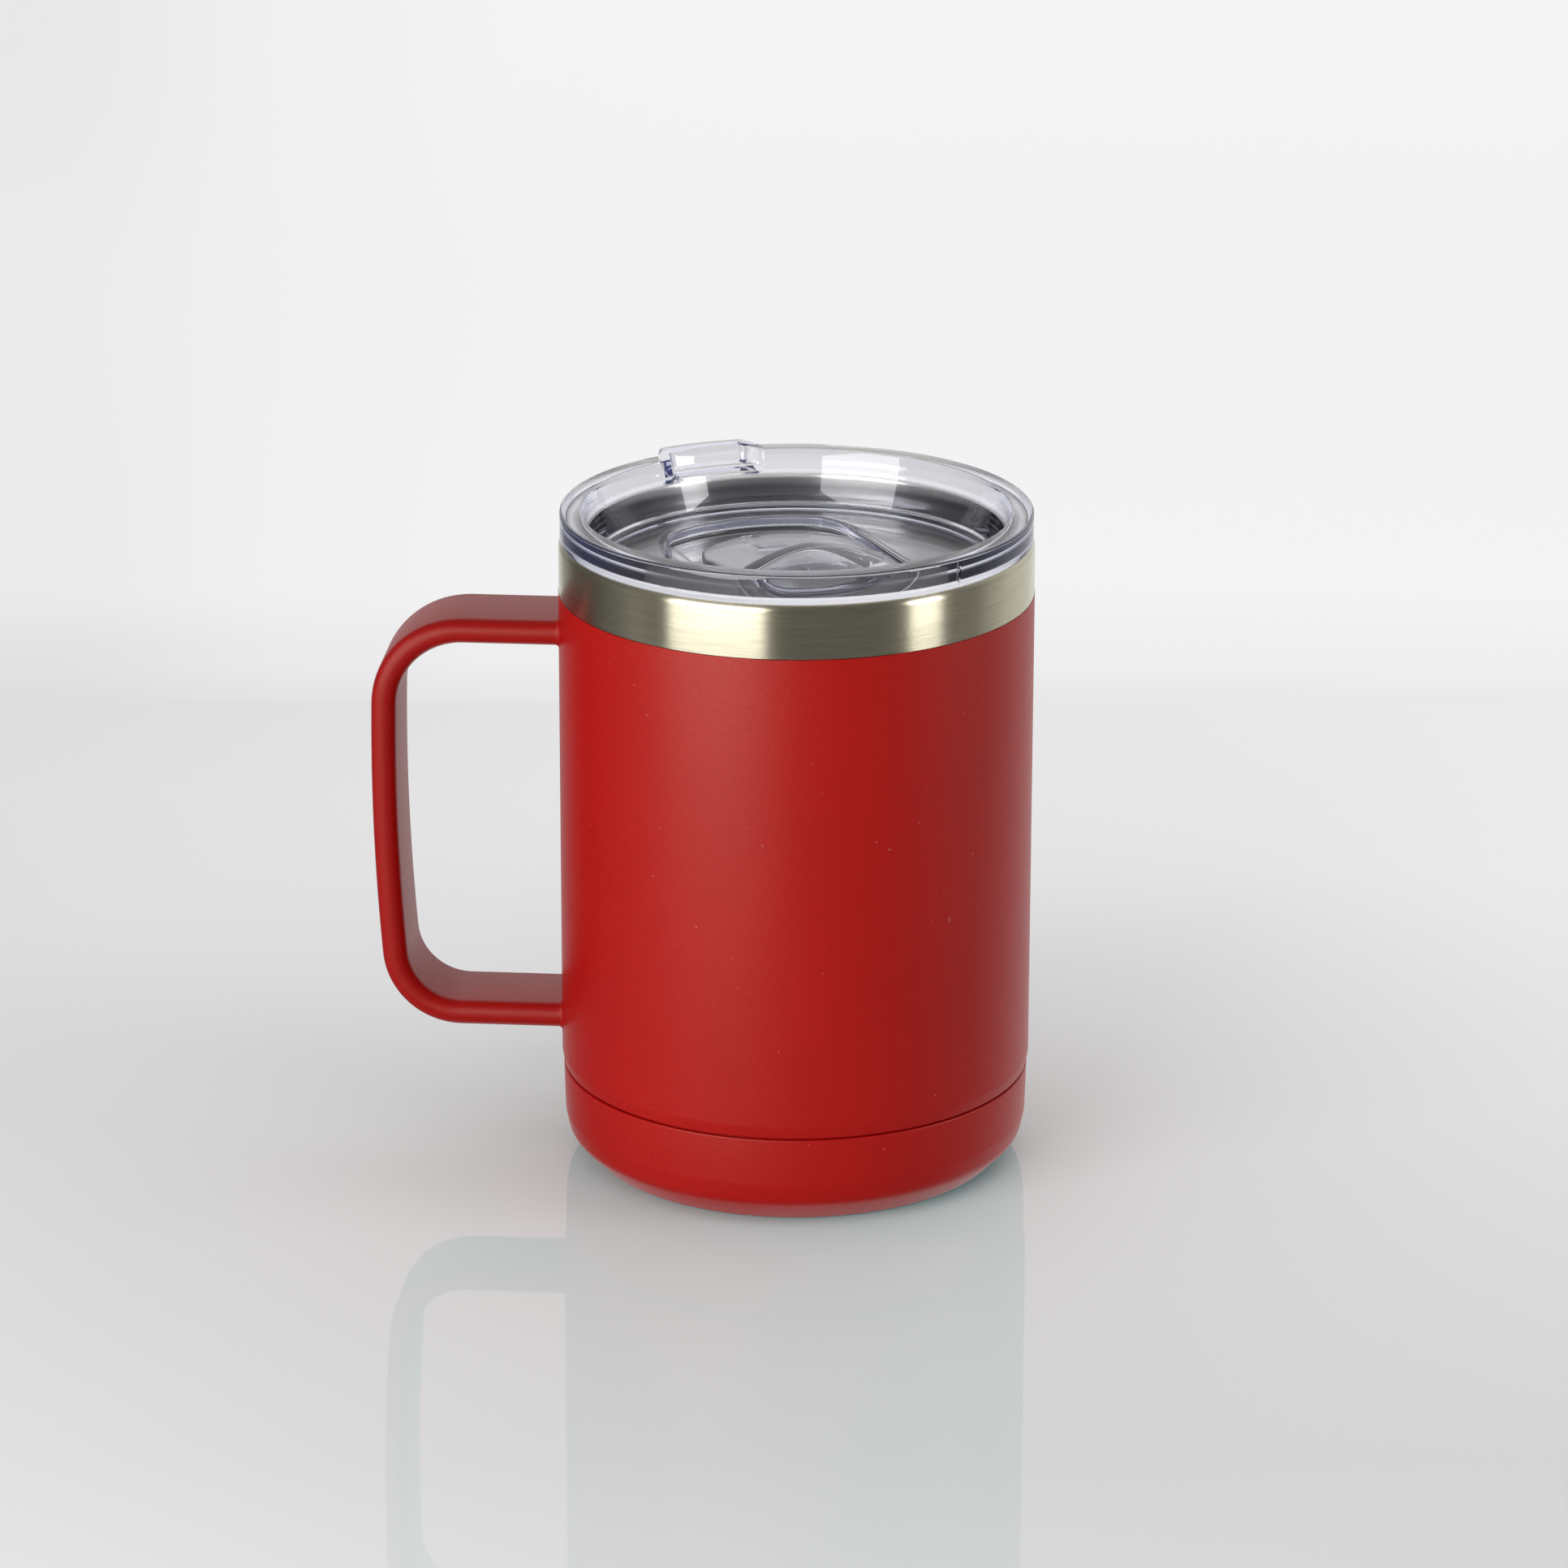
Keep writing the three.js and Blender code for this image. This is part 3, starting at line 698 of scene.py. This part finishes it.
def lid_rim_profile():
    """(radius, z) from the underside of the floor, round the plug and flange, to the recess floor."""
    outside = rounded(
        [
            (FLOOR_R, FLOOR_UNDER_Z, 0),
            (PLUG_INNER_R, FLOOR_UNDER_Z, 0.5),
            (PLUG_INNER_R + 0.6, PLUG_Z, 0.3),
            (PLUG_R, PLUG_Z, 0.6),
            (PLUG_R, GROOVE_LOW, 0.2),
            (GROOVE_R, GROOVE_LOW, 0.2),
            (GROOVE_R, GROOVE_HIGH, 0.2),
            (PLUG_R, GROOVE_HIGH, 0.2),
            (PLUG_R, FLANGE_Z, 0.4),
            (FLANGE_R - 1.4, FLANGE_Z, 0.8),
            (FLANGE_R - 0.35, FLANGE_EDGE_Z + 0.05, 0.1),
            (FLANGE_R, FLANGE_EDGE_Z, 0.25),
            (FLANGE_R, FLANGE_Z, 0),
            (FLANGE_R, TAB_LOW_Z, 0),
            (FLANGE_R, LID_TOP_Z, 0.6),
            (RECESS_R, LID_TOP_Z, 0.5),
            (recess_wall(LID_TOP_Z - 2), LID_TOP_Z - 2, 0),
        ]
    )
    top, bottom, steps = LID_TOP_Z - 2.2, LID_TOP_Z - 4.4, 14
    levels = [top + (bottom - top) * k / steps for k in range(steps + 1)]
    ledge = [(recess_wall(z), z) for z in levels]
    inside = rounded(
        [
            (recess_wall(bottom - 0.2), bottom - 0.2, 0),
            (recess_wall(FLOOR_Z), FLOOR_Z, 0.7),
            (FLOOR_R, FLOOR_Z, 0),
        ]
    )
    return outside + ledge + inside


def boss_profile():
    """(distance outside the well's outline, z) of the thick part under the floor that holds the well."""
    wall = 1.8
    return rounded(
        [
            (-5, LID_LOW_Z, 0),
            (wall, LID_LOW_Z, 0.8),
            (wall, FLOOR_UNDER_Z, 0.5),
            (wall + 1.2, FLOOR_UNDER_Z, 0),
        ]
    )


def lid_shell():
    """The lid as one skin, cut by its two holes.

    The skin runs over the boss underneath, the plug, the flange and the recess to the well on top.
    """
    angles = lid_angles()
    boss = boss_profile()
    well = rounded([(1.4, FLOOR_Z, 0), (0, FLOOR_Z, 0.7), (0, WELL_Z, 0.7), (-5, WELL_Z, 0)])
    rings = [[(0, 0, LID_LOW_Z)]]
    rings += [outline_ring(well_distance, angles, offset, z) for offset, z in boss]
    rings += [flange_ring(r, z, angles) for r, z in lid_rim_profile()]
    rings += [outline_ring(well_distance, angles, offset, z) for offset, z in well]
    rings += [[(0, 0, WELL_Z)]]
    lid = loft("lid_clear", rings, CLEAR)
    room = 0.3
    cutters = (
        rounded_bar("drink_hole", CLEAR, HOLE_FROM, HOLE_TO, HOLE_HALF, 3.5),
        rounded_bar("stem_slot", CLEAR, STEM_FROM - room, STEM_TO + TRAVEL + room, STEM_HALF + room, 0.8),
    )
    for cutter in cutters:
        boolean(lid, cutter, "DIFFERENCE")
    return place(resharpen(lid), "lid", "clear_plastic", "lid_body")


def track_point(x, y, z):
    """A point of the slider track's own frame in the row frame."""
    c, s = math.cos(TRACK), math.sin(TRACK)
    return (x * c - y * s, x * s + y * c, z)


def rounded_outline(x0, x1, half, radius):
    """A round-cornered rectangle across the track, anticlockwise."""
    corners = ((x1 - radius, radius - half, -90), (x1 - radius, half - radius, 0))
    corners += ((x0 + radius, half - radius, 90), (x0 + radius, radius - half, 180))
    return [p for x, y, start in corners for p in arc(x, y, radius, start, start + 90, 15)]


def rounded_bar(name, material, x0, x1, half, radius, low=LID_LOW_Z - 1, high=FLOOR_Z + 1):
    """A prism with a round-cornered outline across the track."""
    outline = rounded_outline(x0, x1, half, radius)
    rings = [[track_point(x, y, z) for x, y in outline] for z in (low, high)]
    return capped(name, rings, material)


def gasket():
    """The soft ring in the plug's groove, with two lips."""
    inner = GROOVE_R + 0.2
    crest, valley = SEAL_HIGH.x, SEAL_HIGH.x - 0.7
    low, high = SEAL_LOW.z, SEAL_HIGH.z
    middle = (low + high) / 2
    profile = rounded(
        [
            (inner, middle, 0),
            (inner, low, 0.2),
            (valley, low, 0.2),
            (crest, low + 0.6, 0.25),
            (valley, middle, 0.3),
            (crest, high - 0.6, 0.25),
            (valley, high, 0.2),
            (inner, high, 0.2),
            (inner, middle + 0.1, 0),
        ]
    )
    ring = revolve("seal_ring", profile, SILICONE, closed=True)
    return place(ring, "seal", "silicone", "lid_gasket")


# ------------------------------------------------------------------ slider
def half_bell(name, face, radius, height, low):
    """Half of a low bell with a flat, round-edged face, as sections across the track."""
    edge = 0.8  # radius of the rounding at the top of the face
    foot = 0.05
    back_steps, edge_steps, width_steps = 24, 6, 40
    sections = [(radius * math.cos(math.radians(90 * k / back_steps)), 0) for k in range(1, back_steps)]
    for k in range(1, edge_steps + 1):
        a = math.radians(90 * k / edge_steps)
        sections.append((edge - edge * math.sin(a), edge - edge * math.cos(a)))
    rings = []
    for behind, trim in sections:
        half = math.sqrt(radius**2 - behind**2)
        ring = []
        for k in range(width_steps + 1):
            y = half * math.cos(math.radians(180 * k / width_steps))
            share = max(0, 1 - (behind**2 + y**2) / radius**2)
            z = SLIDE_TOP_Z - foot + max(0, (height + foot) * share**1.2 - trim)
            ring.append(track_point(face - behind, y, z))
        ring += [track_point(face - behind, -half, low), track_point(face - behind, half, low)]
        rings.append(ring)
    return capped(name, rings, SLIDER_CLEAR_PAINTED_SHEEN)


def slider():
    """The sliding plate with its hollow grip on top, and the barbed stem under it."""
    angles = [math.radians(k) - math.pi for k in range(360)]
    profile = rounded(
        [
            (-4, SLIDE_LOW_Z, 0),
            (0, SLIDE_LOW_Z, 0.45),
            (0, SLIDE_TOP_Z, 0.8),
            (-4, SLIDE_TOP_Z, 0),
        ]
    )
    rings = [[(0, 0, SLIDE_LOW_Z)]]
    rings += [outline_ring(slider_distance, angles, offset, z) for offset, z in profile]
    rings += [[(0, 0, SLIDE_TOP_Z)]]
    plate = loft("slider_clear", rings, SLIDER_CLEAR_PAINTED_SHEEN)
    grip = half_bell("grip", GRIP_FACE, GRIP_R, GRIP_H, SLIDE_TOP_Z - 0.5)
    boolean(plate, grip, "UNION")
    hollow = half_bell("hollow", GRIP_FACE - HOLLOW_BACK, HOLLOW_R, HOLLOW_H, SLIDE_LOW_Z - 1)
    boolean(plate, hollow, "DIFFERENCE")
    barb_top = CLIP_LOW.z - 0.2
    levels = {
        "stem": (STEM_HALF, barb_top - 0.4, SLIDE_LOW_Z + 0.5),
        "barb": (STEM_HALF + BARB, barb_top - 1, barb_top),
    }
    for name, (half, low, high) in levels.items():
        bar = rounded_bar(name, SLIDER_CLEAR_PAINTED_SHEEN, STEM_FROM, STEM_TO, half, 0.5, low, high)
        boolean(plate, bar, "UNION")
    return place(resharpen(plate), "slider", "clear_plastic", "slider")


def slider_clip():
    """The flat clip under the lid's floor, snapped over the slider's stem."""
    low, high = CLIP_LOW.z, CLIP_HIGH.z
    middle = (STEM_FROM + STEM_TO) / 2
    left, right = middle - CLIP_HALF, middle + CLIP_HALF
    clip = rounded_bar("slider_retainer", SLIDER_CLEAR_PAINTED_SHEEN, left, right, CLIP_HALF, 1.5, low, high)
    room = 0.15
    start, end, half = STEM_FROM - room, STEM_TO + room, STEM_HALF + room
    window = rounded_bar("window", SLIDER_CLEAR_PAINTED_SHEEN, start, end, half, 0.5, low - 1, high + 1)
    boolean(clip, window, "DIFFERENCE")
    return place(resharpen(clip), "slider", "clear_plastic", "slider_clip")


# ------------------------------------------------------------------ parts of the frame that stay as they are
def dress_hidden_nodes():
    """Materials for the pieces inside the vacuum space, which keep their CAD shapes."""
    looks = {
        "chamber_plate": plain_metal("chamber_steel", (0.5, 0.49, 0.46), 0.4),
        "exhaust_plug": plain_metal("solder_glass", (0.05, 0.08, 0.07), 0.2),
        "getter_pill": plain_metal("getter_metal", (0.2, 0.19, 0.18), 0.7),
        "heat_shield_foil": plain_metal("copper_foil", (0.72, 0.33, 0.18), 0.3),
    }
    for node, material in looks.items():
        for slot in frame["nodes"][node].material_slots:
            slot.material = material


# ------------------------------------------------------------------ studio
CAMERA_AZIMUTH = 4.5  # degrees round from the -Y side, towards +X


def around(azimuth, distance, height):
    """A point seen from the mug at azimuth degrees to the right of the camera, in metres."""
    a = math.radians(azimuth + CAMERA_AZIMUTH)
    return Vector((distance * math.sin(a), -distance * math.cos(a), height))


def aim(obj, target):
    """Turns a camera or light to face target."""
    obj.rotation_euler = (Vector(target) - obj.location).to_track_quat("-Z", "Y").to_euler()


def camera():
    """A long lens a little over a metre away, looking down at the middle of the mug."""
    distance, height, target_height = 1.1349, 0.4547, 0.0699
    sideways = -0.00219
    roll = math.radians(0.114)
    data = bpy.data.cameras.new("camera")
    data.sensor_width = 36
    data.lens = 150.9
    data.clip_end = 50
    obj = bpy.data.objects.new("camera", data)
    bpy.context.scene.collection.objects.link(obj)
    obj.location = around(0, distance, height) + around(90, sideways, 0)
    aim(obj, around(90, sideways, target_height))
    obj.rotation_euler.rotate_axis("Z", roll)
    bpy.context.scene.camera = obj


def softbox(name, lit, azimuth, distance, width, low, high, radiance):
    """An upright rectangular light facing the mug, falling only on the objects named in lit.

    radiance is what its face would read in a picture.
    """
    data = bpy.data.lights.new(name, "AREA")
    data.shape = "RECTANGLE"
    data.size = width
    data.size_y = high - low
    data.energy = radiance * math.pi * width * (high - low)
    obj = bpy.data.objects.new(name, data)
    bpy.context.scene.collection.objects.link(obj)
    obj.location = around(azimuth, distance, (low + high) / 2)
    aim(obj, (0, 0, (low + high) / 2))
    obj.visible_camera = False
    receivers = bpy.data.collections.new(name)
    for other in lit:
        receivers.objects.link(bpy.data.objects[other])
    obj.light_linking.receiver_collection = receivers


def world():
    """What the mug mirrors: a pale wall behind it and a dim room round the camera.

    The camera itself sees a pale backdrop.
    """
    background = bpy.data.worlds.new("studio")
    bpy.context.scene.world = background
    background.use_nodes = True
    w = Tree(background.node_tree)
    w.tree.nodes.clear()
    direction = w.add("ShaderNodeTexCoord").outputs["Generated"]
    front, right = w.along(direction, around(0, 1, 0)), w.along(direction, around(90, 1, 0))
    up = w.along(direction, (0, 0, 1))
    turn = w.math("MULTIPLY", w.math("ARCTAN2", right, front), math.degrees(1))
    room = w.gray(  # by degrees round from the camera
        turn,
        (-180, 0.93),
        (-165, 0.85),
        (-150, 0.35),
        (-130, 0.13),
        (-115, 0.12),
        (-99, 0.19),
        (-84, 0.3),
        (-65, 0.16),
        (60, 0.16),
        (96, 0.24),
        (108, 0.45),
        (123, 0.68),
        (140, 0.75),
        (165, 0.88),
        (180, 0.93),
    )
    ceiling = (0.2, 0.2, 0.2, 1)
    lit = w.mix(w.gray(up, (0.55, 0), (0.9, 1)), room, ceiling)
    foot = -0.3088  # just below the table's far edge
    left_tone = w.gray(up, (foot, 0.72), (-0.302, 0.76), (-0.291, 0.823), (-0.25, 0.831), (-0.21, 0.807))
    right_tone = w.gray(up, (foot, 0.81), (-0.302, 0.864), (-0.291, 0.9), (-0.25, 0.888), (-0.21, 0.905))
    across = w.gray(right, (-0.114, 0), (-0.067, 0.7), (-0.04, 0.95), (0, 1))
    backdrop = w.mix(across, left_tone, right_tone)
    result = w.mix(w.seen_directly(), lit, backdrop)
    shader = w.add("ShaderNodeBackground", {"Color": result})
    w.add("ShaderNodeOutputWorld", {0: shader.outputs[0]})


def floor_spill(n):
    """Painted light that the camera sees on the table, as if spilled by the wall and the fill light.

    Returns the painted light, with painted shade where the mug hides the table, and how open the table is
    there, 0 to 1.
    """
    position = n.add("ShaderNodeNewGeometry").outputs["Position"]
    depth, across = n.along(position, around(180, 1, 0)), n.along(position, around(90, 1, 0))
    left = n.remap(depth, -0.14, 0.2, 0.27, 0.4)
    right = n.remap(depth, -0.14, 0.15, 0.28, 0.52)
    spill = n.mix(n.remap(across, -0.17, 0.15, 0, 1), left, right)
    # painted shade: the painted light fades near the mug, where the table is less open
    openness = n.add("ShaderNodeAmbientOcclusion", {"Distance": 0.15}, samples=8).outputs["AO"]
    return n.math("MULTIPLY", spill, openness), openness


def table_material():
    """Glossy and pale, and gray where the red mug shows in it.

    From the front it mirrors red more strongly, and the light painted on it holds less red by as much, so
    that the red mug's reflection comes out gray. The red light that the mug throws on it is taken off the
    painted light too.
    """
    n = Nodes("tabletop")
    toward_viewer = n.add("ShaderNodeNewGeometry").outputs["Incoming"]
    front = n.remap(n.along(toward_viewer, around(0, 1, 0)), 0.6, 0.85, 0, 1)
    fresnel = n.add("ShaderNodeFresnel", {"IOR": 1.5}).outputs[0]
    least, red_excess = 0.46, 0.55
    mirror = n.mix(front, (1, 1, 1, 1), (least + red_excess, least, least, 1))
    gloss = n.add("ShaderNodeBsdfGlossy", {"Color": n.mix(fresnel, (0, 0, 0, 1), mirror), "Roughness": 0.03})
    cloud = n.noise(6, 2)
    pale = n.mix(cloud, (0.54, 0.54, 0.54, 1), (0.56, 0.56, 0.56, 1))
    matte = n.add("ShaderNodeBsdfDiffuse", {"Color": pale})
    spill, openness = floor_spill(n)
    wall_tone = 0.91
    less_red = n.math("MULTIPLY", n.math("MULTIPLY", front, fresnel), red_excess * wall_tone)
    # painted light made less red near the mug, against the red light the mug bounces onto the table
    bounced_red = n.remap(openness, 1, 0, 0, 0.045)
    red = n.math("SUBTRACT", n.math("SUBTRACT", spill, less_red), bounced_red)
    tone = n.add("ShaderNodeCombineColor", {0: red, 1: spill, 2: spill})
    # painted light: an emission seen by the camera and through clear plastic, not a lamp
    glow = n.add("ShaderNodeEmission", {"Color": tone.outputs[0], "Strength": n.seen_directly()})
    shine = n.add("ShaderNodeAddShader", {0: matte.outputs[0], 1: gloss.outputs[0]})
    total = n.add("ShaderNodeAddShader", {0: shine.outputs[0], 1: glow.outputs[0]})
    n.set(n.output, "Surface", total.outputs[0])
    return n.material


def floor():
    """The table, which lights the mug but isn't mirrored in it."""
    front_edge, back_edge, side = -0.9, 0.264, 1.6
    just_under = Vector((0, 0, 0.0001))
    corners = []
    for x, y in ((-side, front_edge), (side, front_edge), (side, back_edge), (-side, back_edge)):
        corners.append((around(90, x, 0) + around(180, y, 0) - just_under) / MM)
    table = make_object("tabletop", corners, [(0, 1, 2, 3)], table_material())
    table.visible_glossy = False


def studio():
    """Camera, surroundings, table and four soft lights."""
    camera()
    world()
    floor()
    polished = ("shell_band", "liner", "lid_clear", "seal_ring", "slider_clear", "slider_retainer")
    coated = ("shell_painted", "base", "tabletop")
    handle_only = ("handle_bar",)
    key = {"azimuth": -37.5, "distance": 0.6, "width": 0.51, "low": 0.0, "high": 0.42, "radiance": 5.2}
    flagged = {"azimuth": -44, "distance": 0.6, "width": 0.8, "low": 0.0, "high": 0.5, "radiance": 2.5}
    strip = {"azimuth": 62, "distance": 0.9, "width": 0.26, "low": 0.0, "high": 0.46, "radiance": 7.5}
    fill = {"azimuth": 78, "distance": 0.9, "width": 0.4, "low": 0.1, "high": 0.6, "radiance": 4.2}
    softbox("key_left", polished + coated, **key)
    softbox("key_flagged", handle_only, **flagged)
    softbox("fill_strip", polished, **strip)
    softbox("fill_right", coated, **fill)
    view = bpy.context.scene.view_settings
    view.view_transform = "Standard"
    view.look = "None"


painted_shell()
steel_band()
liner()
base_cup()
handle()
lid_shell()
gasket()
slider()
slider_clip()
dress_hidden_nodes()
studio()
